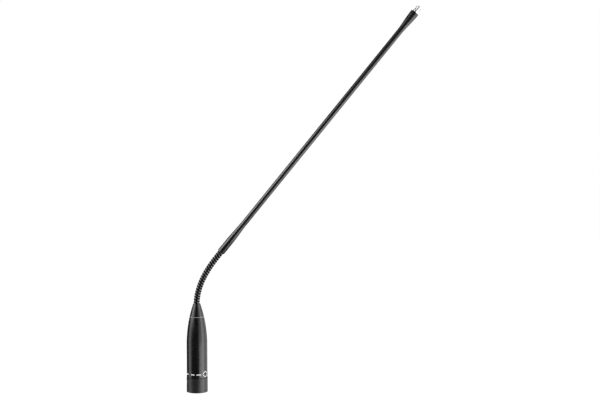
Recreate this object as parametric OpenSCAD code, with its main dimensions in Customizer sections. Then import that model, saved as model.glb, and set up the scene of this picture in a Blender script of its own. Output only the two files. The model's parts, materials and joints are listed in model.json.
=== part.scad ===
// Gooseneck podium microphone stem with a three-pole plug base and a screw-on capsule seat.
// Origin: centre of the plug shell's rim. +Z runs up the base, and the neck leans towards +X.

/* [Plug] */
// Outside diameter of the plug shell
shell_d = 19; // [18.9:0.1:19.2]
// Height of the plug shell below the barrel
shell_h = 13; // [12.5:0.25:13.5]
// Inside diameter of the plug's cup
cup_d = 16.4; // [16.2:0.1:16.6]
// Depth of the plug's cup
cup_depth = 14.2; // [14:0.1:15]
// Diameter of a contact pin
pin_d = 2.38; // [2.2:0.02:2.5]
// Circle that the contact pins stand on
pin_circle_d = 8.8; // [8.4:0.1:9]

/* [Housing] */
// Outside diameter of the barrel
barrel_d = 18.6; // [18.4:0.1:19]
// Height of the base from the plug's rim to the neck's exit
base_h = 80; // [76:1:86]
// Height of the pointed part of the base
ogive_h = 37; // [35:1:38]
// Outside diameter at the top of the nose
nose_top_d = 6.4; // [6.3:0.1:7]
// Height of the nose, which screws into the barrel
nose_h = 11.5; // [11:0.5:13]
// Wall of the barrel
wall = 1.4; // [1.2:0.1:1.5]

/* [Gooseneck] */
// Outside diameter of the wound neck
neck_d = 5.6; // [5.4:0.1:5.7]
// Length of neck from one bending point to the next
link_pitch = 4.4; // [4.2:0.1:4.8]
// Lean of the neck where it leaves the nose
neck_start_tilt = 2; // [0:1:5]
// How early the neck takes up its lean: 1 is an even bend
neck_ease = 1.7; // [1:0.1:2.2]

/* [Stem] */
// Lean of the stem from the vertical
stem_tilt = 39; // [25:1:50]
// Length of the stem from the neck to the capsule seat
stem_len = 275; // [200:5:400]
// Outside diameter of the stem tube
tube_d = 5.2; // [5:0.1:5.4]
// Outside diameter of the collar at the stem's foot
collar_d = 6.7; // [6.5:0.1:7.2]
// Outside diameter of the flared capsule socket
socket_d = 7.6; // [7.2:0.1:8.4]
// Length of the flare
flare_len = 21; // [18:1:26]

/* [Capsule seat] */
// Major diameter of the capsule thread
thread_d = 5; // [4.8:0.1:5.2]
// Length of the capsule thread
thread_len = 3.3; // [3:0.1:3.6]

/* [Hidden] */
$fn = 72;
gap = 0.05;             // fitting clearance between turned parts
link_count = 11;        // rigid stretches of neck between the bending points
rings_per_link = 2;

// Plug
shell_r = shell_d / 2;
cup_r = cup_d / 2;
lip_r = 8.7;            // the cup's wall goes on this wide inside the barrel's foot
lip_top = cup_depth + 0.7;
spigot_r = 7.85;
spigot_top = cup_depth + 7;
spigot_bore_r = 7;
insert_r = spigot_bore_r - gap;
insert_top = cup_depth + 7.3;
pin_r = pin_d / 2;
pin_circle_r = pin_circle_d / 2;
pin_recess = 1.6;       // the pins' tips stay this far inside the rim
// Pins 1 and 2 face each other across the shell, and pin 3 is opposite the latch window
pin_places = [[0, pin_circle_r], [0, -pin_circle_r], [pin_circle_r, 0]];
tail_r = 0.55;
tail_top = insert_top + 5.5;
retainer_z = cup_depth + 4;
retainer_r = 1.25;
retainer_tip = 5.9;     // how near the axis the grub screw reaches

// Housing
barrel_r = barrel_d / 2;
joint_gap = 0.3;        // open line at each joint of the housing
barrel_foot = shell_h + joint_gap;
cavity_r = barrel_r - wall;
ogive_foot = base_h - ogive_h;
ogive_sag = (barrel_d - nose_top_d) / 2;
ogive_r = (ogive_h * ogive_h + ogive_sag * ogive_sag) / (2 * ogive_sag);
nose_foot = base_h - nose_h;
nose_thread_r = 5.6;
nose_thread_foot = nose_foot - 6.5;
seat_z = base_h - 8;    // shoulder that the neck's end fitting is clamped to
seat_bore_r = 4.9;

// Electronics
board_foot = insert_top + 1.5;
board_top = nose_thread_foot - 3;
board_w = 12;
board_t = 1;
board_face = -0.6;      // the side that carries the parts
carrier_foot = insert_top + 1.9;
carrier_r = 7.1;
sleeve_top = ogive_foot + 3;

// Neck
neck_r = neck_d / 2;
ring_r = 0.85;          // half the thickness of one turn of the winding
ring_path_r = neck_r - ring_r;
ring_lift = 0.4;        // a link's first and last turns stay this far from its bending points
liner_r = 2;            // outside of the thin tube under the winding
liner_bore_r = 1.3;
lead_r = 0.9;           // screened lead inside the neck and stem
lead_lift = 0.2;
neck_foot = seat_z - 7.5;
flange_foot = seat_z - 2.5;
washer_foot = flange_foot - 0.6;
fitting_r = 3.6;
first_hinge_h = link_pitch / 2;

// Stem
collar_r = collar_d / 2;
collar_waist_r = collar_r - 0.2;
collar_len = 32;
winding_socket_h = 4.5; // how deep the winding goes into the collar
tube_r = tube_d / 2;
tube_wall = 0.5;
tube_foot = 8;
tube_top = stem_len - 13;
socket_foot = stem_len - flare_len;
socket_r = socket_d / 2;
socket_bore_r = 2.42;

// Capsule seat
thread_r = thread_d / 2;
thread_foot = stem_len + 3;
thread_top = thread_foot + thread_len;
insulator_r = 1.6;
guide_r = 1;            // blind barrel that guides the sprung contact
guide_foot = stem_len - 6.9;
guide_top = thread_top - 2.05;
plunger_r = 0.5;
plunger_head_r = 0.72;
spring_foot = stem_len - 6.2;
spring_len = 6.4;
spring_wire_r = 0.1;

function two_digits(k) = str(k < 10 ? "0" : "", k);

// ---- Where the neck runs -----------------------------------------------------------------

// Lean of the neck a share u of the way from the nose to the stem
function tilt_at(u) =
    neck_start_tilt + (stem_tilt - neck_start_tilt) * (1 - pow(1 - u, neck_ease));

// Lean of link k, taken at its middle
function link_tilt(k) = tilt_at(k / (link_count + 1));

function along(tilt) = [sin(tilt), 0, cos(tilt)];

// Bending point below link k. Link 12 is the stem's own foot.
function hinge(k) =
    k == 1 ? [0, 0, base_h + first_hinge_h]
           : hinge(k - 1) + link_pitch * along(link_tilt(k - 1));

stem_foot = hinge(link_count + 1) + first_hinge_h * along(stem_tilt);

module on_link(k) {
    translate(hinge(k)) rotate([0, link_tilt(k), 0]) children();
}

module on_stem() {
    translate(stem_foot) rotate([0, stem_tilt, 0]) children();
}

// ---- Shapes that repeat ------------------------------------------------------------------

module tube(r_out, r_in, z0, z1) {
    translate([0, 0, z0]) difference() {
        cylinder(r = r_out, h = z1 - z0);
        translate([0, 0, -1]) cylinder(r = r_in, h = z1 - z0 + 2);
    }
}

module rod(r, z0, z1) {
    translate([0, 0, z0]) cylinder(r = r, h = z1 - z0);
}

// A rod with a chamfered lower end
module tipped_rod(r, z0, z1, tip) {
    translate([0, 0, z0]) cylinder(r1 = r - tip, r2 = r, h = tip);
    rod(r, z0 + tip, z1);
}

// A stretch of the wound neck: turns of wire on a thin liner
module winding(z0, z1, turns) {
    step = (z1 - z0 - 2 * ring_r) / (turns - 1);
    end = ring_r / 4;
    difference() {
        union() {
            rod(liner_r, z0 + end, z1 - end);
            for (i = [0:turns - 1])
                translate([0, 0, z0 + ring_r + i * step])
                    rotate_extrude() translate([ring_path_r, 0]) circle(r = ring_r);
        }
        rod(liner_bore_r, z0 - 1, z1 + 1);
    }
}

// Round wire through a list of points, with each stretch running past its bend by its radius
module wire(points, r) {
    last = len(points) - 2;
    for (i = [0:last]) {
        step = points[i + 1] - points[i];
        over = i < last ? r : 0;
        translate(points[i]) rotate([0, acos(step.z / norm(step)), atan2(step.y, step.x)])
            rod(r, 0, norm(step) + over);
    }
}

// Half outline of the base's outer shape, moved in by inset
module housing_outline(inset) {
    translate([0, barrel_foot]) square([barrel_r - inset, ogive_foot - barrel_foot]);
    intersection() {
        translate([barrel_r - ogive_r, ogive_foot]) circle(r = ogive_r - inset, $fn = 256);
        translate([0, ogive_foot]) square([barrel_r, ogive_h]);
    }
}

// Closed tube swept along a helix of the given turns, standing on z = 0
module helix(path_r, wire_r, height, turns, sides = 6, steps = 14) {
    n = turns * steps;
    rings = [for (i = [0:n]) let (a = 360 * i / steps, z = height * i / n)
        [for (j = [0:sides - 1]) let (b = 360 * j / sides, r = path_r + wire_r * cos(b))
            [r * cos(a), r * sin(a), z + wire_r * sin(b)]]];
    points = [for (ring = rings) for (p = ring) p];
    walls = [for (i = [0:n - 1]) for (j = [0:sides - 1]) let (k = (j + 1) % sides)
        [i * sides + j, (i + 1) * sides + j, (i + 1) * sides + k, i * sides + k]];
    ends = [[for (j = [0:sides - 1]) j], [for (j = [sides - 1:-1:0]) n * sides + j]];
    polyhedron(points = points, faces = concat(walls, ends));
}

// ---- Plug --------------------------------------------------------------------------------

// Turned shell: a cup for the socket's nose, with its key and latch window on the -X side,
// and a spigot that the barrel slides over
module xlr_shell() {
    key_w = 2.6;
    key_h = 2.4;
    key_foot = 4.5;
    window = [4.5, 4.8, 3];
    window_foot = 7;
    color("dimgray") difference() {
        union() {
            rod(shell_r, 0, shell_h);
            rod(lip_r, shell_h, lip_top);
            rod(spigot_r, lip_top, spigot_top);
        }
        difference() {
            rod(cup_r, -1, cup_depth);
            translate([-cup_r - 1, -key_w / 2, key_foot]) cube([key_h, key_w, cup_depth]);
        }
        translate([0, 0, -gap]) cylinder(r1 = cup_r + 0.5, r2 = cup_r - gap, h = 0.5);
        rod(spigot_bore_r, 0, spigot_top + 1);
        translate([-shell_r - 1, -window.y / 2, window_foot]) cube(window);
        retainer_hole();
    }
}

module retainer_hole() {
    translate([0, 0, retainer_z]) rotate([-90, 0, 0]) rod(retainer_r + gap, 0, barrel_r + 1);
}

// Moulded disc that holds the three pins
module xlr_insert() {
    color("black") difference() {
        rod(insert_r, cup_depth, insert_top);
        for (place = pin_places)
            translate(place) rod(pin_r + 0.01, cup_depth - 1, insert_top + 1);
        translate([0, retainer_tip, retainer_z]) rotate([-90, 0, 0]) rod(retainer_r + gap, 0, insert_r);
    }
}

module contact_pin(n) {
    color("silver") translate(pin_places[n - 1]) union() {
        tipped_rod(pin_r, pin_recess, insert_top, 0.5);
        rod(tail_r, insert_top, tail_top);
    }
}

// Sheet strip from pin 1's tail to the shell
module ground_tag() {
    tag_w = 3;
    tag_foot = insert_top + gap;
    color("goldenrod") difference() {
        intersection() {
            translate([-tag_w / 2, pin_circle_r - tag_w / 2, tag_foot]) cube([tag_w, cavity_r, 0.3]);
            rod(insert_r, insert_top, board_foot);
        }
        translate(pin_places[0]) rod(tail_r + gap, insert_top, board_foot);
    }
}

// Grub screw through the barrel and the spigot into the insert
module insert_screw() {
    head = barrel_r - 0.3;
    key_depth = 1.2;
    color("black") translate([0, 0, retainer_z]) rotate([-90, 0, 0]) difference() {
        rod(retainer_r, retainer_tip, head);
        translate([0, 0, head - key_depth]) cylinder(r = 0.75, h = 2, $fn = 6);
    }
}

// ---- Housing -----------------------------------------------------------------------------

module housing_barrel() {
    rim = nose_foot - joint_gap;
    color([0.09, 0.09, 0.1]) difference() {
        rotate_extrude() intersection() {
            housing_outline(0);
            square([barrel_r, rim]);
        }
        rotate_extrude() intersection() {
            housing_outline(wall);
            square([barrel_r, nose_thread_foot - 0.5]);
        }
        rod(spigot_r + gap, 0, ogive_foot);
        rod(lip_r + gap, 0, lip_top + gap);
        rod(nose_thread_r + gap, ogive_foot, base_h);
        retainer_hole();
    }
}

// Turned nose: its spigot screws into the barrel, and the neck comes out of its top
module nose_cone() {
    edge = 0.2;
    color([0.09, 0.09, 0.1]) difference() {
        union() {
            rotate_extrude() intersection() {
                housing_outline(0);
                translate([0, nose_foot]) square([barrel_r, nose_h - edge]);
            }
            translate([0, 0, base_h - edge])
                cylinder(r1 = nose_top_d / 2 + gap, r2 = nose_top_d / 2 - edge, h = edge);
            rod(nose_thread_r, nose_thread_foot, nose_foot);
        }
        rod(neck_r + 2 * gap, nose_foot, base_h + 1);
        rod(seat_bore_r, nose_thread_foot - 1, seat_z);
    }
}

// Flanged brass fitting crimped to the lower end of the neck
module neck_end_fitting() {
    color("darkgoldenrod") difference() {
        union() {
            rod(seat_bore_r - 2 * gap, flange_foot, seat_z);
            rod(fitting_r, neck_foot - 2, flange_foot);
        }
        rod(neck_r + 0.02, neck_foot - 3, seat_z + 1);
    }
}

module lock_washer() {
    tooth_gap = [1, 0.5, 2];
    tooth_root = 4.3;
    color("silver") difference() {
        tube(seat_bore_r - 3 * gap, fitting_r + 2 * gap, washer_foot, flange_foot);
        for (a = [0:45:315])
            rotate([0, 0, a]) translate([tooth_root, -tooth_gap.y / 2, washer_foot - 1]) cube(tooth_gap);
    }
}

// Ring nut that presses the end fitting up against the nose's shoulder
module clamp_nut() {
    nut_foot = washer_foot - 3.5;
    slot = [2, 1.2, 1.2];
    color("darkgoldenrod") difference() {
        tube(seat_bore_r - gap, fitting_r + 2 * gap, nut_foot, washer_foot);
        for (a = [0, 180])
            rotate([0, 0, a]) translate([fitting_r, -slot.y / 2, nut_foot - gap]) cube(slot);
    }
}

// ---- Electronics -------------------------------------------------------------------------

module circuit_board() {
    pad_holes = [[-3, 4], [3, 4], [-3, 12], [3, 12], [0, 31], [2, 31]];
    color("darkgreen") difference() {
        translate([board_face - board_t, -board_w / 2, board_foot])
            cube([board_t, board_w, board_top - board_foot]);
        for (h = pad_holes)
            translate([board_face, h.x, board_foot + h.y]) rotate([0, 90, 0]) rod(0.45, -2, 1);
    }
}

// Moulded carrier: a foot ring and two rails that the board slides into
module board_carrier() {
    ring_bore_r = 5.6;
    rail_bore_r = 5.3;
    rail = [-2.8, 0.6];     // where the rails begin and end across the board
    color("ivory") difference() {
        union() {
            tube(carrier_r, ring_bore_r, carrier_foot, carrier_foot + 2);
            intersection() {
                tube(carrier_r, rail_bore_r, carrier_foot, board_top - 5);
                translate([rail[0], -carrier_r, carrier_foot])
                    cube([rail[1] - rail[0], 2 * carrier_r, board_top]);
            }
        }
        translate([board_face - board_t - gap, -board_w / 2 - gap, 0])
            cube([board_t + 2 * gap, board_w + 2 * gap, board_top]);
    }
}

module insulating_sleeve() {
    color("khaki") tube(carrier_r + 0.4, carrier_r + 2 * gap, carrier_foot, sleeve_top);
}

// Amplifier chip with four legs on each side
module board_chip() {
    body = [1.5, 4, 5];
    leg = [0.5, 1, 0.4];
    leg_pitch = 1.27;
    leg_reach = 2.5;        // middle of a leg from the chip's middle
    color("black") translate([board_face, 0, board_foot + 20]) union() {
        translate([0.15, -body.y / 2, 0]) cube(body);
        for (i = [0:3]) for (side = [-1, 1])
            translate([0, side * leg_reach - leg.y / 2, 0.5 + i * leg_pitch]) cube(leg);
    }
}

// Flat-sided transistor on three legs
module board_transistor() {
    body_r = 2.2;
    body_h = 4.4;
    flat = 1.2;             // distance of the flat side from the body's middle
    leg_pitch = 1.27;
    leg_len = 1.5;
    color("black") translate([board_face + flat + 0.4, 0, board_foot + 28]) union() {
        difference() {
            rod(body_r, 0, body_h);
            translate([-flat - body_r, -body_r, -1]) cube([body_r, 2 * body_r, body_h + 2]);
        }
        for (i = [-1:1])
            translate([0, i * leg_pitch, 0]) rod(0.22, -leg_len, 0.2);
    }
}

module board_capacitors() {
    can_r = 2.4;
    can_h = 8.2;
    bung_h = 1.2;
    color("navy") for (side = [-1, 1])
        translate([board_face + can_r + gap, side * (can_r + 2 * gap), board_foot + 9.3]) union() {
            rod(can_r - 0.25, 0, bung_h);
            rod(can_r, bung_h, can_h);
        }
}

module board_resistors() {
    chip = [0.5, 1.2, 2];
    rows = [19.5, 23, 27.5];
    column = 4.4;
    color("dimgray") for (z = rows) for (side = [-1, 1])
        translate([board_face, side * column - chip.y / 2, board_foot + z]) cube(chip);
}

// Bobbins that keep radio noise out of the lead
module board_chokes() {
    flange_r = 1.5;
    flange_h = 0.6;
    winding_r = 1.1;
    bobbin_h = 3;
    color("saddlebrown") for (side = [-1, 1])
        translate([board_face + flange_r + gap, side * 2.6, board_foot + 5.6]) union() {
            rod(flange_r, 0, flange_h);
            rod(winding_r, flange_h, bobbin_h - flange_h);
            rod(flange_r, bobbin_h - flange_h, bobbin_h);
        }
}

// Bare wire from pin 3's tail across to the board
module pin_wire() {
    bend_z = tail_top + 1.5;
    color("silver")
        wire([[pin_circle_r, 0, tail_top], [pin_circle_r, 0, bend_z], [board_face, 0, bend_z]], 0.3);
}

// ---- Lead --------------------------------------------------------------------------------

// Rubber plug that grips the lead in the end fitting's foot
module lead_grommet() {
    color("dimgray") tube(neck_r - gap, lead_r + gap, neck_foot - 2, neck_foot - gap);
}

// Three cores that fan out from the lead's end to the board
module lead_conductors() {
    core_r = 0.22;
    root_gap = 0.55;        // the cores leave the lead this far apart
    pad = [board_face + core_r, 2.4, board_top - 3.4];
    color("firebrick") for (side = [-1:1])
        wire([[0, side * root_gap, board_top + 2.6], [pad.x, side * pad.y, pad.z]], core_r);
}

module neck_lead_00() {
    color("gray") rod(lead_r, board_top + 2.6, base_h + first_hinge_h - lead_lift);
}

module neck_lead(k) {
    color("gray") on_link(k) rod(lead_r, lead_lift, link_pitch - lead_lift);
}

// Lead in the stem, bared to its core where it meets the sprung contact
module stem_lead() {
    color("gray") on_stem() union() {
        rod(lead_r, lead_lift - first_hinge_h, stem_len - 9.2);
        rod(0.25, stem_len - 9.2, guide_foot);
    }
}

// ---- Gooseneck ---------------------------------------------------------------------------

module neck_coil_00() {
    color("black") winding(neck_foot, base_h + first_hinge_h - ring_lift, 9);
}

module neck_coil(k) {
    color("black") on_link(k) winding(ring_lift, link_pitch - ring_lift, rings_per_link);
}

// Upper end of the winding, held in the stem's collar
module neck_coil_12() {
    color("black") on_stem() winding(ring_lift - first_hinge_h, winding_socket_h - 2 * gap, 3);
}

// ---- Stem --------------------------------------------------------------------------------

// Thin brass sleeve that keeps the winding round where the collar is crimped on it
module neck_end_sleeve() {
    color("darkgoldenrod") on_stem() tube(liner_bore_r - 0.02, lead_r + 0.1, 0.4, 6);
}

// Collar at the stem's foot: the winding goes in below and the tube above
module stem_collar() {
    grip_top = 11;
    waist = 21;
    color([0.08, 0.08, 0.09]) on_stem() difference() {
        union() {
            tipped_rod(collar_r, 0, grip_top, 0.3);
            translate([0, 0, grip_top])
                cylinder(r1 = collar_r, r2 = collar_waist_r, h = waist - grip_top);
            translate([0, 0, waist])
                cylinder(r1 = collar_waist_r, r2 = tube_r + 0.08, h = collar_len - waist);
        }
        rod(neck_r + 0.02, -1, winding_socket_h);
        rod(tube_r - tube_wall + gap, winding_socket_h - 1, tube_foot + 1);
        rod(tube_r + 0.02, tube_foot, collar_len + 1);
    }
}

module stem_tube() {
    color([0.08, 0.08, 0.09]) on_stem() tube(tube_r, tube_r - tube_wall, tube_foot, tube_top);
}

// Flared seat for the capsule head
module capsule_socket() {
    edge = 0.8;
    mouth = stem_len - 2;
    shoulder = stem_len - 5.5;
    color([0.08, 0.08, 0.09]) on_stem() difference() {
        union() {
            translate([0, 0, socket_foot])
                cylinder(r1 = tube_r + 0.08, r2 = socket_r - 0.1, h = shoulder - socket_foot);
            translate([0, 0, shoulder])
                cylinder(r1 = socket_r - 0.1, r2 = socket_r, h = mouth - shoulder);
            rod(socket_r, mouth, stem_len - edge);
            translate([0, 0, stem_len - edge])
                cylinder(r1 = socket_r, r2 = socket_r - 0.6, h = edge);
        }
        rod(tube_r + 0.02, socket_foot - 1, tube_top + 2 * gap);
        rod(socket_bore_r, tube_top, stem_len + 1);
    }
}

// ---- Capsule seat ------------------------------------------------------------------------

// Plated stub: a shoulder, a relief groove and the thread that the capsule screws on
module capsule_thread() {
    groove_foot = stem_len + 2.2;
    color("silver") on_stem() difference() {
        union() {
            rod(socket_bore_r - 0.02, stem_len - 9, stem_len);
            rod(thread_r + 0.15, stem_len, groove_foot);
            rod(thread_r - 0.5, groove_foot, thread_foot);
            rod(thread_r, thread_foot, thread_top);
        }
        rod(insulator_r, stem_len - 10, thread_top + 1);
    }
}

module tip_insulator() {
    color("white") on_stem() difference() {
        rod(insulator_r - 0.01, guide_foot - 0.1, thread_top - 0.6);
        rod(guide_r + 0.01, guide_foot - 1, guide_top + gap);
        rod(plunger_r + 2 * gap, guide_foot, thread_top);
    }
}

module contact_barrel() {
    color("goldenrod") on_stem() difference() {
        rod(guide_r, guide_foot, guide_top);
        rod(guide_r - 0.2, spring_foot - gap, thread_top);
    }
}

module contact_spring() {
    color("silver") on_stem() translate([0, 0, spring_foot + spring_wire_r])
        helix(0.6, spring_wire_r, spring_len - 2 * spring_wire_r, 9);
}

// Plunger that touches the capsule's centre and slides in against the spring
module centre_contact() {
    tip_z = thread_top + 0.3;
    color("gold") on_stem() union() {
        rod(plunger_head_r, spring_foot + spring_len + gap, guide_top - gap);
        rod(plunger_r, guide_top - gap, tip_z);
        translate([0, 0, tip_z]) sphere(r = plunger_r);
    }
}

// ---- Assembly ----------------------------------------------------------------------------

xlr_shell();
xlr_insert();
for (n = [1:3])
    contact_pin(n);
ground_tag();
insert_screw();
housing_barrel();
nose_cone();
neck_end_fitting();
lock_washer();
clamp_nut();
circuit_board();
board_carrier();
insulating_sleeve();
board_chip();
board_transistor();
board_capacitors();
board_resistors();
board_chokes();
pin_wire();
lead_grommet();
lead_conductors();
neck_lead_00();
neck_coil_00();
for (k = [1:link_count]) {
    neck_coil(k);
    neck_lead(k);
}
neck_coil_12();
neck_end_sleeve();
stem_collar();
stem_tube();
stem_lead();
capsule_socket();
capsule_thread();
tip_insulator();
contact_barrel();
contact_spring();
centre_contact();
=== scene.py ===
import json
import math

import bmesh
import bpy
from mathutils import Matrix, Vector


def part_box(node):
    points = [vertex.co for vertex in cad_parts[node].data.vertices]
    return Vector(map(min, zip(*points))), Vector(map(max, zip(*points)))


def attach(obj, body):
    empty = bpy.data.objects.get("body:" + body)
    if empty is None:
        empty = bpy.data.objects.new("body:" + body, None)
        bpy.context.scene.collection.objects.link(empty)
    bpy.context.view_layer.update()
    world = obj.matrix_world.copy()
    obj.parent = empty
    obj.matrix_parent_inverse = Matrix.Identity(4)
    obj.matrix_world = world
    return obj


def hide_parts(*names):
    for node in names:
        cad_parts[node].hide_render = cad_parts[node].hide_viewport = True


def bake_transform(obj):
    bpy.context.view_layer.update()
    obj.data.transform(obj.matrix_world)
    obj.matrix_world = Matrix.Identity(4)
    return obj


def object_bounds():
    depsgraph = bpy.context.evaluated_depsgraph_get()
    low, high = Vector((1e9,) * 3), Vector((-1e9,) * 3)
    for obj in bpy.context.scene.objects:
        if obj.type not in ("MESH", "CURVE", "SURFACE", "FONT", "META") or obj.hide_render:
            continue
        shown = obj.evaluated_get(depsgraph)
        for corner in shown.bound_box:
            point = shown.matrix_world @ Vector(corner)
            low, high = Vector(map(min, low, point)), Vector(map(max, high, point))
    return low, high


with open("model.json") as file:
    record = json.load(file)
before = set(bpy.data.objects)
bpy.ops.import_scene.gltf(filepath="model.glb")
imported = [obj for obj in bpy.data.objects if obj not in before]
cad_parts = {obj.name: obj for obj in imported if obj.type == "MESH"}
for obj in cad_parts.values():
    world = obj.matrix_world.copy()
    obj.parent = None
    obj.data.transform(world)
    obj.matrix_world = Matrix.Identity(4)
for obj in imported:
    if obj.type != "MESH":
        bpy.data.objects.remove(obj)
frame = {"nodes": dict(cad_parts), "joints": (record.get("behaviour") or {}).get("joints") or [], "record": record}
cad_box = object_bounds()


# ---- Housing barrel ------------------------------------------------------------------------
# Slim tube that tapers along one long arc. It is turned from brass bar, bored from both ends
# and sprayed satin black, and it slides over the plug shell's spigot.

class Reading:
    """A number read off a surface, which can be reckoned with like a plain one."""

    def __init__(self, finish, socket):
        self.finish = finish
        self.socket = socket

    def reckon(self, operation, first, second):
        return self.finish.node("Math", {"operation": operation}, {0: first, 1: second})

    def __add__(self, other):
        return self.reckon("ADD", self, other)

    def __sub__(self, other):
        return self.reckon("SUBTRACT", self, other)

    def __rsub__(self, other):
        return self.reckon("SUBTRACT", other, self)

    def __mul__(self, other):
        return self.reckon("MULTIPLY", self, other)

    __radd__ = __add__
    __rmul__ = __mul__

    def above(self, level, fade):
        """0 below level, 1 above it, with a ramp of width fade between them."""
        settings = {"interpolation_type": "SMOOTHSTEP"}
        ramp = {"Value": self, 1: level - fade / 2, 2: level + fade / 2}
        return self.finish.node("MapRange", settings, ramp)


class Finish:
    """A material while it is being laid out."""

    def __init__(self, name):
        self.material = bpy.data.materials.new(name)
        self.material.use_nodes = True
        self.tree = self.material.node_tree
        self.shader = next(n for n in self.tree.nodes if n.type == "BSDF_PRINCIPLED")

    def node(self, kind, settings=None, inputs=None, out=0):
        made = self.tree.nodes.new("ShaderNode" + kind)
        for name, value in (settings or {}).items():
            setattr(made, name, value)
        for name, value in (inputs or {}).items():
            self.join(made.inputs[name], value)
        return Reading(self, made.outputs[out])

    def join(self, socket, value):
        if isinstance(value, Reading):
            self.tree.links.new(value.socket, socket)
        else:
            socket.default_value = value

    def own_place(self):
        """Where a point is on the piece itself, which goes with it when the piece moves."""
        return self.node("Attribute", {"attribute_name": "own_place"}, out="Vector")

    def cad_place(self):
        return self.node("TexCoord", out="Object")

    def stretched(self, place, x, y, z):
        return self.node("VectorMath", {"operation": "MULTIPLY"}, {0: place, 1: (x, y, z)})

    def part_of(self, place, axis):
        return self.node("SeparateXYZ", None, {0: place}, out="XYZ".index(axis))

    def noise(self, place, scale, detail=2.0, roughness=0.5):
        inputs = {"Vector": place, "Scale": scale, "Detail": detail, "Roughness": roughness}
        return self.node("TexNoise", None, inputs)

    def mixed(self, share, low, high):
        low, high = (c if isinstance(c, Reading) else (*c, 1) for c in (low, high))
        return self.node("Mix", {"data_type": "RGBA"}, {0: share, 6: low, 7: high}, out=2)

    def bump(self, height, depth, strength=1.0):
        return self.node("Bump", None, {"Height": height, "Distance": depth, "Strength": strength})

    def surface(self, **values):
        for name, value in values.items():
            self.join(self.shader.inputs[name.replace("_", " ").title().replace("Ior", "IOR")], value)
        return self.material


def satin_paint(name, black, gloss, drawn=0.0, highlight_band=None):
    """Sprayed satin black: a fine orange peel, faint clouding in the gloss, and hairline rubs."""
    paint = Finish(name)
    place = paint.own_place()
    clouds = paint.noise(place, 260, detail=3)
    peel = paint.noise(place, 2600, detail=1)
    rubs = paint.noise(paint.stretched(place, 1, 1, 0.05), 5200, detail=2)
    # Matte grey for a painted highlight, standing in for light caught at a joint's edge.
    joint_highlight_grey = (0.34, 0.335, 0.32)
    band_fade = 0.00002
    grey = tuple(v * 1.9 for v in black)
    colour = paint.mixed(clouds.above(0.5, 0.5), black, grey)
    roughness = gloss + 0.10 * clouds + drawn * rubs
    relief = peel + drawn * 2 * rubs
    # A band between two heights gets the grey as a painted highlight, and is rougher there.
    if highlight_band:
        height = paint.part_of(place, "Z")
        highlight = height.above(highlight_band[0], band_fade) - height.above(highlight_band[1], band_fade)
        colour = paint.mixed(highlight, colour, joint_highlight_grey)
        roughness = roughness + 0.3 * highlight
    return paint.surface(
        base_color=colour, roughness=roughness, normal=paint.bump(relief, 0.000006, 0.5), ior=1.5)


def eased(*corners, steps=6):
    """A closed outline of (radius, height) points. A corner's third number rounds it off."""
    outline = []
    for i, corner in enumerate(corners):
        here = Vector(corner[:2])
        if len(corner) < 3:
            outline.append(here)
            continue
        before = Vector(corners[i - 1][:2]) - here
        after = Vector(corners[(i + 1) % len(corners)][:2]) - here
        half = before.angle(after) / 2
        reach = corner[2] / math.tan(half)
        start = here + before.normalized() * reach
        end = here + after.normalized() * reach
        inward = (before.normalized() + after.normalized()).normalized()
        centre = here + inward * (corner[2] / math.sin(half))
        flat = 0.4 * corner[2]
        outline.append(start + before.normalized() * flat)
        for step in range(steps + 1):
            arm = (start - centre).lerp(end - centre, step / steps)
            outline.append(centre + arm.normalized() * corner[2])
        outline.append(end + after.normalized() * flat)
    return outline


def finished(name, points, faces, place, material, slot, sharp_deg=32):
    """Makes a piece from points in its own frame and stands it where it belongs."""
    mesh = bpy.data.meshes.new(name)
    mesh.from_pydata([tuple(p) for p in points], [], faces)
    own = mesh.attributes.new("own_place", "FLOAT_VECTOR", "POINT")
    own.data.foreach_set("vector", [v for p in points for v in p])
    mesh.transform(place)
    tidy = bmesh.new()
    tidy.from_mesh(mesh)
    bmesh.ops.recalc_face_normals(tidy, faces=tidy.faces)
    tidy.to_mesh(mesh)
    tidy.free()
    mesh.polygons.foreach_set("use_smooth", [True] * len(mesh.polygons))
    mesh.set_sharp_from_angle(angle=math.radians(sharp_deg))
    mesh.materials.append(material)
    piece = bpy.data.objects.new(name, mesh)
    bpy.context.scene.collection.objects.link(piece)
    return piece


UPRIGHT = Matrix.Identity(4)


def turned(name, outline, material, slot, place=UPRIGHT, steps=128):
    """Turns a closed outline about the piece's own axis."""
    points, rings, faces = [], [], []
    for radius, height in outline:
        count = 1 if radius < 1e-7 else steps
        rings.append([len(points) + i for i in range(count)])
        for i in range(count):
            angle = math.tau * i / steps
            points.append((radius * math.cos(angle), radius * math.sin(angle), height))
    for a, b in zip(rings, rings[1:] + rings[:1]):
        for i in range(steps if max(len(a), len(b)) > 1 else 0):
            corners = [a[i % len(a)], a[(i + 1) % len(a)], b[(i + 1) % len(b)], b[i % len(b)]]
            faces.append(list(dict.fromkeys(corners)))
    return finished(name, points, faces, place, material, slot)


barrel_low, barrel_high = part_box("housing_barrel")
nose_low, nose_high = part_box("nose_cone")
barrel_r = barrel_high.x
base_h = nose_high.z
ogive_h = 0.037
ogive_foot = base_h - ogive_h
nose_top_r = 0.0032
ogive_sag = barrel_r - nose_top_r
ogive_r = (ogive_h ** 2 + ogive_sag ** 2) / (2 * ogive_sag)
wall = 0.0014
thread_bore_r = 0.00565
thread_foot = nose_low.z - 0.0006
thread_relief = 0.0002
lip_r = 0.00878
lip_top = barrel_low.z + 0.0017
spigot_bore_r = 0.00793
spigot_bore_top = barrel_low.z + 0.009
taper_stop = 0.0005
paint_black = (0.0020, 0.0020, 0.0022)
housing_gloss = 0.22


def taper(height, inset=0.0):
    """Radius of the base's outside at a height, or of a line inset from it."""
    rise = max(0.0, height - ogive_foot)
    return barrel_r - ogive_r + math.sqrt((ogive_r - inset) ** 2 - rise ** 2)


def taper_points(low, high, count, inset=0.0):
    heights = [low + (high - low) * i / count for i in range(count + 1)]
    return [(taper(h, inset), h) for h in heights]


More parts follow.
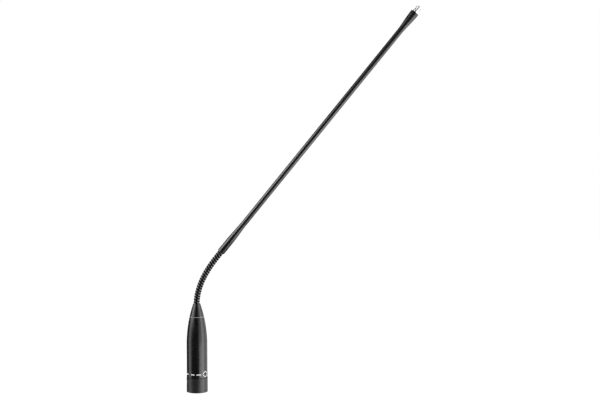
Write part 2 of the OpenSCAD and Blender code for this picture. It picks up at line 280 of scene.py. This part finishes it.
housing_paint = satin_paint("housing_paint", paint_black, housing_gloss)
barrel_outline = eased(
    (lip_r, barrel_low.z),
    (barrel_r, barrel_low.z, 0.00018),
    *taper_points(ogive_foot, barrel_high.z - taper_stop, 28),
    (taper(barrel_high.z), barrel_high.z, 0.00016),
    (thread_bore_r, barrel_high.z, 0.00012),
    (thread_bore_r, thread_foot),
    *taper_points(thread_foot - thread_relief, ogive_foot, 12, wall),
    (barrel_r - wall, spigot_bore_top),
    (spigot_bore_r, spigot_bore_top),
    (spigot_bore_r, lip_top),
    (lip_r, lip_top))
barrel = turned("housing_barrel_skin", barrel_outline, housing_paint, "barrel_black")
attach(barrel, "base")
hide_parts("housing_barrel")


# ---- Nose ----------------------------------------------------------------------------------
# Turned cap that carries the taper on up to the neck. It screws into the barrel, and a narrow
# land at its foot is coloured matte grey as a painted highlight, so the joint shows as one fine bright line.

nose_bore_r = 0.0029
nose_seat_r = 0.0049
seat_z = base_h - 0.008
nose_thread_r = thread_bore_r - 0.0001
nose_foot = barrel_high.z + 0.0003
land_r = taper(nose_foot) - 0.0001
# Between these two heights the land is coloured grey as a painted highlight on the joint.
highlight_foot = nose_low.z + 0.0002
highlight_top = nose_foot + 0.00005
nose_paint = satin_paint("nose_paint", paint_black, housing_gloss, highlight_band=(highlight_foot, highlight_top))
nose_outline = eased(
    (nose_thread_r, nose_low.z, 0.0002),
    (nose_thread_r, barrel_high.z),
    (land_r, barrel_high.z),
    (land_r, nose_foot),
    (taper(nose_foot), nose_foot, 0.0001),
    *taper_points(nose_foot + 0.0004, base_h - 0.0008, 18),
    (nose_top_r, base_h, 0.00018),
    (nose_bore_r, base_h, 0.00005),
    (nose_bore_r, seat_z),
    (nose_seat_r, seat_z),
    (nose_seat_r, nose_low.z))
nose = turned("nose_cone_skin", nose_outline, nose_paint, "barrel_black")
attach(nose, "base")
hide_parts("nose_cone")


# ---- Print on the barrel -------------------------------------------------------------------
# Pad-printed white ink, two hundredths of a millimetre proud, low on the barrel's front: a long
# dash, two groups of short ones, and a plain open diamond. Nothing in it can be read.

def white_ink():
    """Thin white ink, greyer in the specks where it hardly covers the paint."""
    ink = Finish("white_ink")
    place = ink.own_place()
    thin = ink.noise(place, 3800, detail=3)
    return ink.surface(
        base_color=ink.mixed(thin.above(0.40, 0.2), (0.30, 0.30, 0.30), (0.66, 0.66, 0.64)),
        roughness=0.48 + 0.1 * thin, normal=ink.bump(thin, 0.000004, 0.5))


print_z = 0.0167
ink_top = barrel_r + 0.00002
ink_foot = barrel_r - 0.00003
dash_h = 0.0011
dashes = [(-75, -50), (-31.5, -26), (-25, -19.5), (-18.5, -11.5)]
dashes += [(1, 6.5), (7.5, 13), (14, 19.5), (20.5, 27)]
diamond_at = 56
diamond_reach = 17
diamond_gap = 1
diamond_z = print_z + 0.0002
diamond_h = 0.0026
diamond_line = 0.0008


def dash(share):
    """Half height of a round-ended dash at a share of its width, from -1 to 1."""
    return dash_h / 2 * math.sqrt(max(0.0, 1 - abs(share) ** 6))


def diamond_side(share):
    """Half height of a stroke of the diamond, the same all along it."""
    return diamond_line / 2


def printed(marks, columns=18):
    """Raised marks on the barrel. Each has its left and right end in degrees round it, the
    height of each end, and a function that gives its half height along it."""
    points, faces = [], []
    for left, right, left_z, right_z, half_height in marks:
        first = len(points)
        for i in range(columns + 1):
            share = i / columns
            angle = math.radians(left + (right - left) * share - 90)
            height = left_z + (right_z - left_z) * share
            reach = half_height(0.999 * (2 * share - 1))
            for radius, side in ((ink_top, 1), (ink_top, -1), (ink_foot, -1), (ink_foot, 1)):
                points.append((radius * math.cos(angle), radius * math.sin(angle), height + side * reach))
        for i in range(columns):
            a = first + 4 * i
            faces += [[a + k, a + (k + 1) % 4, a + 4 + (k + 1) % 4, a + 4 + k] for k in range(4)]
        faces += [[first + k for k in range(4)], [len(points) - 4 + k for k in range(4)]]
    return points, faces


marks = [(left, right, print_z, print_z, dash) for left, right in dashes]
for side in (-1, 1):
    for up in (-1, 1):
        tip = (diamond_at + side * diamond_reach, diamond_z + up * diamond_line / 2)
        peak = (diamond_at + side * diamond_gap, print_z + up * diamond_h)
        (left, left_z), (right, right_z) = sorted([tip, peak])
        marks.append((left, right, left_z, right_z, diamond_side))
barrel_print = finished("barrel_print", *printed(marks), UPRIGHT, white_ink(), "barrel_black")
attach(barrel_print, "base")


# ---- Plug shell ----------------------------------------------------------------------------
# Turned tube with a cup for the socket's nose. The key and the latch window are milled, the
# finish is the housing's black, and plugging in leaves fine rubs along it.

def eased_edges(node, width, finish):
    """Gives a piece's own edges a small radius and its finish."""
    piece = frame["nodes"][node]
    edge = piece.modifiers.new("edges", "BEVEL")
    edge.width = width
    edge.segments = 2
    edge.limit_method = "ANGLE"
    edge.angle_limit = math.radians(40)
    dress(node, finish)


def dress(node, finish):
    """Puts a finish on every face of a piece."""
    piece = frame["nodes"][node]
    for i in range(len(piece.data.materials)):
        piece.data.materials[i] = finish


def shell_paint():
    paint = Finish("shell_paint")
    place = paint.cad_place()
    height = paint.part_of(place, "Z")
    clouds = paint.noise(place, 300, detail=3)
    peel = paint.noise(place, 2600, detail=1)
    rubs = paint.noise(paint.stretched(place, 1, 1, 0.03), 3600, detail=3)
    rim = (1 - height.above(0.0005, 0.0010)) * rubs.above(0.60, 0.10)
    return paint.surface(
        base_color=paint.mixed(rim, (0.007, 0.007, 0.0074), (0.10, 0.10, 0.10)),
        roughness=0.30 + 0.12 * clouds + 0.14 * rubs,
        normal=paint.bump(peel + 1.5 * rubs, 0.000005, 0.6))


eased_edges("xlr_shell", 0.00012, shell_paint())


# ---- Plug insert and contact pins ----------------------------------------------------------
# Black nylon disc, moulded with a collar round each pin. The pins are turned brass, plated with
# silver, pressed through it and rounded at the tip.

def turned_metal(name, colour, dull, rings=9000, depth=0.0000015):
    """Metal straight from the lathe or plated over it: fine rings round the axis, slight clouding."""
    metal = Finish(name)
    place = metal.own_place()
    clouds = metal.noise(place, 420, detail=3)
    tool = metal.noise(metal.stretched(place, 0.04, 0.04, 1), rings, detail=2)
    shade = tuple(v * 0.8 for v in colour)
    return metal.surface(
        base_color=metal.mixed(clouds, shade, colour), metallic=1.0,
        roughness=dull + 0.10 * clouds + 0.06 * tool, normal=metal.bump(tool, depth))


def moulded(name, colour, dull, grain=3000, depth=0.00001):
    """Moulded plastic with a fine spark grain."""
    plastic = Finish(name)
    place = plastic.cad_place()
    speck = plastic.noise(place, grain, detail=2)
    flow = plastic.noise(place, 180, detail=2)
    deep = tuple(v * 0.82 for v in colour)
    return plastic.surface(
        base_color=plastic.mixed(flow, deep, colour), roughness=dull + 0.12 * speck,
        normal=plastic.bump(speck, depth, 0.4))


nylon_black = moulded("nylon_black", (0.022, 0.022, 0.024), 0.42)
silver = turned_metal("silver_plate", (0.86, 0.85, 0.82), 0.16)
eased_edges("xlr_insert", 0.0001, nylon_black)
insert_low, insert_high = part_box("xlr_insert")
tail_r = 0.00055
tip_round = 0.0007
pin_collar_foot = insert_low.z - 0.0004
pin_collar_wall = 0.0007
for n in (1, 2, 3):
    pin_low, pin_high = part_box(f"contact_pin_{n}")
    middle = (pin_low + pin_high) / 2
    stand = Matrix.Translation((middle.x, middle.y, 0))
    pin_r = (pin_high.y - pin_low.y) / 2
    pin = turned(f"contact_pin_{n}_plated", eased(
        (0, pin_low.z),
        (pin_r, pin_low.z, tip_round),
        (pin_r, insert_high.z, 0.00008),
        (tail_r, insert_high.z),
        (tail_r, pin_high.z, 0.0001),
        (0, pin_high.z)), silver, "silver_plate", stand, steps=64)
    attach(pin, "base")
    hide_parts(f"contact_pin_{n}")
    pin_collar = turned(f"pin_collar_{n}", eased(
        (pin_r, pin_collar_foot, 0.00005),
        (pin_r + pin_collar_wall, pin_collar_foot, 0.00012),
        (pin_r + pin_collar_wall + 0.0001, insert_low.z),
        (pin_r, insert_low.z)), nylon_black, "insert_black", stand, steps=64)
    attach(pin_collar, "base")


# ---- Neck winding --------------------------------------------------------------------------
# Three round wires wound side by side, left-handed, over a thin liner, with wedge-shaped wire
# locked between their turns. It is one winding from the nose to the collar, oxidised black.

hinges = [Vector(j["pos_m"]) for j in frame["joints"] if j["type"] == "hinge"]
pitch = (hinges[1] - hinges[0]).length
seat = next(m for m in frame["record"]["mounts"] if m["name"] == "capsule_thread")
stem_axis = Vector(seat["axis"]).normalized()
leans = [0.0]
leans += [math.atan2((b - a).x, (b - a).z) for a, b in zip(hinges, hinges[1:])]
leans.append(math.atan2(stem_axis.x, stem_axis.z))
courses = [Vector((math.sin(lean), 0, math.cos(lean))) for lean in leans]
stations = [hinge - pitch / 2 * course for hinge, course in zip(hinges, courses)]
stem_foot = hinges[-1] + pitch / 2 * stem_axis
stations.append(stem_foot)
coil_low, coil_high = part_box("neck_coil_00")
winding_r = (coil_high.y - coil_low.y) / 2
liner_r = 0.0013
lead_of_wire = 0.0072
strands = 3
wire_r = 0.00102
wedge_r = winding_r - 0.00036
wedge_slope = 0.6
head_run = 0.0044


def neck_at(run):
    """Where the neck's middle is, and how far it leans, a run along it from the nose."""
    link = min(max(int(run / pitch), 0), len(hinges) - 1)
    start, lean = stations[link], leans[link]
    along = Vector((math.sin(lean), 0, math.cos(lean)))
    over = Vector((math.cos(lean), 0, -math.sin(lean)))
    if run <= 0:
        return start + along * run, lean
    if run >= pitch * len(hinges):
        return stem_foot + stem_axis * (run - pitch * len(hinges)), leans[-1]
    turn = leans[link + 1] - lean
    arc_r = pitch / 2 / math.tan(turn / 2)
    now = turn * (run / pitch - link)
    return start + arc_r * (math.sin(now) * along + (1 - math.cos(now)) * over), lean + now


def wire_height(run, angle):
    """Radius of the winding at a place, and how near that is to the top of the round wire."""
    spacing = lead_of_wire / strands
    beside = strands * (run / lead_of_wire + angle / math.tau)
    across = abs(beside - round(beside)) * spacing
    crown = winding_r - wire_r + math.sqrt(max(0.0, wire_r ** 2 - across ** 2))
    wedge = wedge_r - wedge_slope * (spacing / 2 - across)
    return max(crown, wedge), max(0.0, 1 - across / wire_r)


def skinned(rings, around):
    """Faces over a row of equal rings of points, with the last ring joined back to the first."""
    faces = []
    for ring in range(rings):
        a, b = ring * around, (ring + 1) % rings * around
        for i in range(around):
            j = (i + 1) % around
            faces.append([a + i, a + j, b + j, b + i])
    return faces


def wound(name, low, high, material, around=80, per_turn=26):
    """A stretch of the winding, closed over its liner at both ends."""
    rows = max(2, round((high - low) / lead_of_wire * strands * per_turn))
    points, own, crest = [], [], []
    runs = [low + (high - low) * i / rows for i in range(rows + 1)]
    for row, run in enumerate([low, *runs, high]):
        middle, lean = neck_at(run)
        over = Vector((math.cos(lean), 0, -math.sin(lean)))
        for i in range(around):
            angle = math.tau * i / around
            radius, top = wire_height(run, angle)
            if row in (0, rows + 2):
                radius, top = liner_r, 0.0
            arm = math.cos(angle) * over + math.sin(angle) * Vector((0, 1, 0))
            points.append(middle + arm * radius)
            own.append((radius * math.cos(angle), radius * math.sin(angle), run))
            crest.append(top)
    faces = skinned(rows + 3, around)
    piece = finished(name, points, faces, UPRIGHT, material, "winding_black", sharp_deg=60)
    piece.data.attributes["own_place"].data.foreach_set("vector", [v for p in own for v in p])
    piece.data.attributes.new("crest", "FLOAT", "POINT").data.foreach_set("value", crest)
    return piece


def oxide_black():
    """Black oxide on spring wire: dull in the grooves, rubbed to a dark shine along the crowns."""
    oxide = Finish("oxide_black")
    place = oxide.own_place()
    crown = oxide.node("Attribute", {"attribute_name": "crest"}, out="Fac")
    patches = oxide.noise(place, 700, detail=3)
    drawn = oxide.noise(place, 5200, detail=2)
    rubbed = crown.above(0.62, 0.5) * (0.7 + 0.6 * patches)
    return oxide.surface(
        base_color=oxide.mixed(rubbed, (0.008, 0.008, 0.009), (0.120, 0.120, 0.124)), metallic=1.0,
        roughness=0.40 - 0.20 * rubbed + 0.10 * patches, normal=oxide.bump(drawn, 0.000003, 0.5))


winding_finish = oxide_black()
foot = wound("neck_winding_foot", coil_low.z - base_h, 0.0, winding_finish)
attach(foot, "base")
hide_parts("neck_coil_00")
# Each stretch runs from one hinge to the next and stays where it is made, tied to no link.
for k in range(1, len(hinges) + 1):
    stretch = wound(f"neck_winding_{k:02d}", (k - 1) * pitch, k * pitch, winding_finish)
    if k < len(hinges):
        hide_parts(f"neck_coil_{k:02d}")
    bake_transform(stretch)
top_run = pitch * len(hinges)
head = wound("neck_winding_head", top_run, top_run + head_run, winding_finish)
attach(head, "stem")
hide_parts("neck_coil_12")


# ---- Stem collar ---------------------------------------------------------------------------
# Turned collar crimped over the winding's end and soldered to the tube, then filed to a long
# taper that runs out on the tube. It is sprayed with the stem.

STEM = Matrix.Translation(stem_foot) @ Matrix.Rotation(leans[-1], 4, "Y")
tube_low, tube_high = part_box("stem_tube")
collar_low, collar_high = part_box("stem_collar")
collar_r = (collar_high.y - collar_low.y) / 2
tube_r = (tube_high.y - tube_low.y) / 2
stem_paint = satin_paint("stem_paint", paint_black, 0.20, drawn=0.03)
collar_len = 0.032
grip_h = 0.0125
winding_depth = 0.0045
winding_bore_r = winding_r + 0.00003
step_r = tube_r - 0.0004
tube_foot = 0.008
solder_film = 0.00004


def collar_taper(share):
    """Radius up the collar's taper: full at its foot, and run out on the tube at its top."""
    fall = share * share * (3 - 2 * share)
    return collar_r + (tube_r + solder_film - collar_r) * (0.35 * share + 0.65 * fall)


taper_run = [i / 20 for i in range(1, 21)]
collar = turned("stem_collar_skin", eased(
    (winding_bore_r, 0.0),
    (collar_r, 0.0, 0.0004),
    (collar_r, grip_h),
    *[(collar_taper(t), grip_h + (collar_len - grip_h) * t) for t in taper_run],
    (tube_r, collar_len),
    (tube_r, tube_foot),
    (step_r, tube_foot),
    (step_r, winding_depth),
    (winding_bore_r, winding_depth)), stem_paint, "stem_black", STEM)
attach(collar, "stem")
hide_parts("stem_collar")


# ---- Stem tube -----------------------------------------------------------------------------
# Drawn tube, half a millimetre thick, straightened and sprayed satin black. The draw marks
# show very faintly along it through the paint.

seat_above_stem = 0.00465
stem_len = (Vector(seat["pos_m"]) - stem_foot).length - seat_above_stem
tube_wall = 0.0005
tube_top = stem_len - 0.013
tube_rows = 24
tube_rings = [
    (tube_r, tube_foot + (tube_top - tube_foot) * i / tube_rows) for i in range(tube_rows + 1)]
tube = turned("stem_tube_skin", [
    *tube_rings,
    (tube_r - tube_wall, tube_top),
    (tube_r - tube_wall, tube_foot)], stem_paint, "stem_black", STEM)
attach(tube, "stem")
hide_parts("stem_tube")


# ---- Capsule socket ------------------------------------------------------------------------
# Turned flare pushed over the tube's end and soldered. It is sprayed with the tube, so the
# two read as one, and its mouth has a rolled edge.

socket_low, socket_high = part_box("capsule_socket")
socket_r = (socket_high.y - socket_low.y) / 2
flare_len = 0.021
flare_foot = stem_len - flare_len
flare_h = flare_len - 0.0032
mouth_bore_r = 0.00242
tube_stop = stem_len - 0.0128


def flare(share):
    """Radius up the flare, which swells a little ahead of a straight cone."""
    swell = 0.10 * math.sin(math.tau * share) * (1 - share)
    return tube_r + solder_film + (socket_r - tube_r) * (share ** 1.06 - swell)


flare_run = [i / 28 for i in range(29)]
socket = turned("capsule_socket_skin", eased(
    (tube_r, flare_foot),
    *[(flare(t), flare_foot + flare_h * t) for t in flare_run],
    (socket_r, stem_len, 0.0004),
    (mouth_bore_r, stem_len, 0.00015),
    (mouth_bore_r, tube_stop),
    (tube_r, tube_stop)), stem_paint, "stem_black", STEM)
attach(socket, "stem")
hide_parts("capsule_socket")


# ---- Capsule seat --------------------------------------------------------------------------
# Brass stub, turned with a shoulder, a relief groove and a fine thread, then given a dull nickel
# plate. It is pressed into the socket.

nickel = turned_metal("dull_nickel", (0.84, 0.835, 0.82), 0.36)
stub_bore_r = 0.0016
stub_r = mouth_bore_r - 0.00002
stub_foot = stem_len - 0.009
shoulder_r = 0.00265
shoulder_top = stem_len + 0.0022
groove_r = 0.0020
groove_foot = shoulder_top + 0.0001
cut_foot = stem_len + 0.0030
cut_top = stem_len + 0.0063
groove_top = cut_foot + 0.0001
shoulder = turned("capsule_shoulder", eased(
    (stub_bore_r, stub_foot),
    (stub_r, stub_foot, 0.0001),
    (stub_r, stem_len),
    (shoulder_r, stem_len, 0.0001),
    (shoulder_r, shoulder_top, 0.00022),
    (groove_r, groove_foot, 0.0001),
    (groove_r, groove_top),
    (stub_bore_r, groove_top)), nickel, "nickel", STEM)
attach(shoulder, "stem")
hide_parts("capsule_thread")

thread_r = 0.0025
thread_pitch = 0.0005
thread_depth = 0.00028
foot_fade = 0.0004
top_fade = 0.0005
crest_flat = 1.25


def threaded(name, low, high, around=120, per_turn=12):
    """A rolled thread whose crests fade out at both ends."""
    rows = round((high - low) / thread_pitch * per_turn)
    points = []
    heights = [low + (high - low) * i / rows for i in range(rows + 1)]
    for row, z in enumerate([low, *heights, high]):
        lead_in = min(1.0, (z - low) / foot_fade, (high - z) / top_fade)
        for i in range(around):
            angle = math.tau * i / around
            turn = z / thread_pitch - i / around
            tooth = 1 - abs(2 * (turn - math.floor(turn)) - 1)
            radius = thread_r - thread_depth + thread_depth * min(1.0, crest_flat * tooth) * lead_in
            if row in (0, rows + 2):
                radius = stub_bore_r
            points.append((radius * math.cos(angle), radius * math.sin(angle), z))
    return finished(name, points, skinned(rows + 3, around), STEM, nickel, "nickel", sharp_deg=50)


thread = threaded("capsule_thread_cut", cut_foot, cut_top)
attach(thread, "stem")


# ---- Centre contact ------------------------------------------------------------------------
# White insulator with a gold-plated plunger standing out of its middle. A spring in the guide
# barrel behind pushes it out, and a fitted capsule presses it in.

gold = turned_metal("hard_gold", (0.88, 0.64, 0.26), 0.16)
acetal = moulded("white_acetal", (0.78, 0.77, 0.74), 0.34)
plunger_r = 0.0005
plunger_top = cut_top + 0.0008
flange_r = 0.00072
flange_foot = stem_len + 0.00025
flange_top = cut_top - 0.0021
plunger = turned("centre_contact_plated", eased(
    (0, flange_foot),
    (flange_r, flange_foot, 0.0001),
    (flange_r, flange_top, 0.0001),
    (plunger_r, flange_top),
    (plunger_r, plunger_top, 0.00045),
    (0, plunger_top)), gold, "gold_plate", STEM, steps=64)
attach(plunger, "contact_plunger")
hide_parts("centre_contact")
eased_edges("tip_insulator", 0.00008, acetal)


# ---- Insert screw --------------------------------------------------------------------------
# Black socket-headed grub screw on the far side of the barrel, which holds the plug's insert.

def cad_metal(name, colour, dull, grain=2400):
    """Machined metal on the small parts: a fine grain and slight tarnish."""
    metal = Finish(name)
    place = metal.cad_place()
    tarnish = metal.noise(place, 500, detail=3)
    tool = metal.noise(metal.stretched(place, 1, 1, 6), grain, detail=2)
    deep = tuple(v * 0.72 for v in colour)
    return metal.surface(
        base_color=metal.mixed(tarnish, deep, colour), metallic=1.0,
        roughness=dull + 0.16 * tarnish, normal=metal.bump(tool, 0.000002))


eased_edges("insert_screw", 0.00006, cad_metal("screw_oxide", (0.05, 0.05, 0.055), 0.34))


# ---- Fittings inside the nose and collar ---------------------------------------------------
# Brass: the end fitting crimped on the neck's foot, its ring nut, the sleeve in the winding's
# upper end, the guide barrel and pin 1's ground tag. The washer and the spring are bright steel.

brass = cad_metal("turned_brass", (0.72, 0.54, 0.25), 0.22)
steel = cad_metal("bright_steel", (0.60, 0.59, 0.57), 0.20)
for node in ("neck_end_fitting", "clamp_nut", "neck_end_sleeve", "contact_barrel", "ground_tag"):
    eased_edges(node, 0.00006, brass)
for node in ("lock_washer", "contact_spring"):
    dress(node, steel)


# ---- Amplifier board -----------------------------------------------------------------------
# Green glass-epoxy board in a nylon carrier, with an amber film sleeve round it. Parts: chip,
# transistor, two capacitors, six resistors and two chokes against radio noise.

def solder_mask():
    """Green lacquer over copper tracks, which show through as lighter lanes."""
    mask = Finish("solder_mask")
    place = mask.cad_place()
    lanes = mask.node("TexVoronoi", {"feature": "DISTANCE_TO_EDGE"}, {
        "Vector": mask.stretched(place, 1, 1, 0.5), "Scale": 420, "Randomness": 0.35})
    weave = mask.noise(place, 2200, detail=1)
    copper = lanes.above(0.16, 0.04)
    return mask.surface(
        base_color=mask.mixed(copper, (0.012, 0.085, 0.030), (0.030, 0.150, 0.055)),
        roughness=0.30 + 0.12 * weave, normal=mask.bump(copper, 0.00003, 0.5))


eased_edges("circuit_board", 0.00005, solder_mask())
eased_edges("board_carrier", 0.0001, moulded("nylon_natural", (0.68, 0.65, 0.55), 0.44))
dress("insulating_sleeve", moulded("amber_film", (0.55, 0.34, 0.10), 0.22, grain=900))
epoxy = moulded("epoxy_black", (0.020, 0.020, 0.022), 0.46)
for node in ("board_chip", "board_transistor", "board_resistors"):
    eased_edges(node, 0.00005, epoxy)
eased_edges("board_capacitors", 0.00012, moulded("blue_film", (0.02, 0.05, 0.22), 0.20, grain=900))


def copper_wire():
    """Enamelled wire wound in level turns on the chokes, darkened between the turns by painted shade."""
    wire = Finish("enamelled_copper")
    place = wire.cad_place()
    turns = wire.node("TexWave", {"bands_direction": "Z"}, {"Vector": place, "Scale": 1600})
    # The colour runs dark in the creases between the turns: painted shade.
    return wire.surface(
        base_color=wire.mixed(turns, (0.16, 0.05, 0.015), (0.52, 0.22, 0.07)), metallic=0.6,
        roughness=0.32 + 0.1 * turns, normal=wire.bump(turns, 0.00003, 0.6))


dress("board_chokes", copper_wire())


# ---- Lead and wires ------------------------------------------------------------------------
# Screened lead in grey vinyl from the board to the tip, gripped by a rubber plug at the neck's
# foot. Three cores fan out of it, and a bare tinned wire joins pin 3 to the board.

vinyl = moulded("grey_vinyl", (0.16, 0.16, 0.17), 0.40, grain=1500)
for k in range(len(hinges)):
    dress(f"neck_lead_{k:02d}", vinyl)
dress("stem_lead", vinyl)
dress("lead_grommet", moulded("black_rubber", (0.03, 0.03, 0.031), 0.62))
dress("lead_conductors", moulded("red_vinyl", (0.40, 0.035, 0.03), 0.38, grain=1500))
dress("pin_wire", cad_metal("tinned_copper", (0.68, 0.68, 0.67), 0.22))


# ---- Floor, lights and camera --------------------------------------------------------------
# White sweep under an even white sky. Soft boxes stacked up each side draw the two long
# reflections down the black parts and leave the front dark between them. Two dimmer walls and
# a box overhead fill in beyond them.

def floor_white():
    white = Finish("floor_white")
    place = white.cad_place()
    drift = white.noise(place, 2.0, detail=1)
    return white.surface(
        base_color=white.mixed(drift, (0.010, 0.010, 0.010), (0.014, 0.014, 0.014)), roughness=0.9,
        emission_color=(1, 1, 1, 1), emission_strength=1.0)


def softbox(name, place, width, height, glow, aim=None):
    """A lit panel which faces straight across at the microphone unless it is aimed elsewhere."""
    aim = aim or (0, *place[1:])
    light = bpy.data.lights.new(name, "AREA")
    light.shape = "RECTANGLE"
    light.size = width
    light.size_y = height
    light.energy = math.pi * width * height * glow
    holder = bpy.data.objects.new(name, light)
    holder.location = place
    holder.rotation_euler = (Vector(aim) - Vector(place)).to_track_quat("-Z", "Y").to_euler()
    holder.visible_camera = False
    bpy.context.scene.collection.objects.link(holder)


half_w = 3.0
floor_mesh = bpy.data.meshes.new("floor")
floor_corners = [(x * half_w, y * half_w, 0) for x, y in ((-1, -1), (1, -1), (1, 1), (-1, 1))]
floor_mesh.from_pydata(floor_corners, [], [(0, 1, 2, 3)])
floor_mesh.materials.append(floor_white())
floor = bpy.data.objects.new("floor", floor_mesh)
floor.location.z = cad_box[0].z - 0.0002
floor.visible_glossy = False
floor.visible_shadow = False
bpy.context.scene.collection.objects.link(floor)

softbox("left_softbox", (-0.55, -0.085, 0.195), width=0.365, height=1.19, glow=1.8)
softbox("left_high_softbox", (-0.551, -0.28, 0.47), width=0.66, height=0.64, glow=2.8)
softbox("left_top_softbox", (-0.56, -0.27, 0.60), width=0.64, height=0.24, glow=5.4)
softbox("left_wall", (-0.62, -0.42, 1.02), width=1.1, height=0.50, glow=0.8)
softbox("right_softbox", (0.75, -0.21, 0.15), width=0.50, height=1.0, glow=2.5)
softbox("right_low_softbox", (0.78, -0.62, -0.41), width=1.10, height=0.44, glow=4.2)
softbox("overhead_softbox", (0.69, -0.45, 0.95), width=0.70, height=0.70, glow=2.0, aim=(0.2, 0, 0.34))
softbox("right_wall", (0.80, -0.05, 0.15), width=2.9, height=1.5, glow=1.3)

sky = bpy.data.worlds.new("sky")
sky.use_nodes = True
nodes = sky.node_tree.nodes
links = sky.node_tree.links
back = next(n for n in nodes if n.type == "BACKGROUND")
seen = nodes.new("ShaderNodeBackground")
seen.inputs["Color"].default_value = (1, 1, 1, 1)
back.inputs["Color"].default_value = (0.02, 0.02, 0.02, 1)
either = nodes.new("ShaderNodeMixShader")
ray = nodes.new("ShaderNodeLightPath")
world_out = next(n for n in nodes if n.type == "OUTPUT_WORLD")
links.new(ray.outputs["Is Camera Ray"], either.inputs[0])
links.new(back.outputs[0], either.inputs[1])
links.new(seen.outputs[0], either.inputs[2])
links.new(either.outputs[0], world_out.inputs["Surface"])
bpy.context.scene.world = sky
bpy.context.scene.view_settings.view_transform = "Standard"

camera_dip = 4.362
camera = bpy.data.objects.new("camera", bpy.data.cameras.new("camera"))
camera.data.sensor_width = 36
camera.data.lens = 80.92
camera.data.clip_start = 0.01
camera.location = (0.09308, -1.205, 0.2656)
camera.rotation_euler = (math.radians(90 - camera_dip), 0, 0)
bpy.context.scene.collection.objects.link(camera)
bpy.context.scene.camera = camera
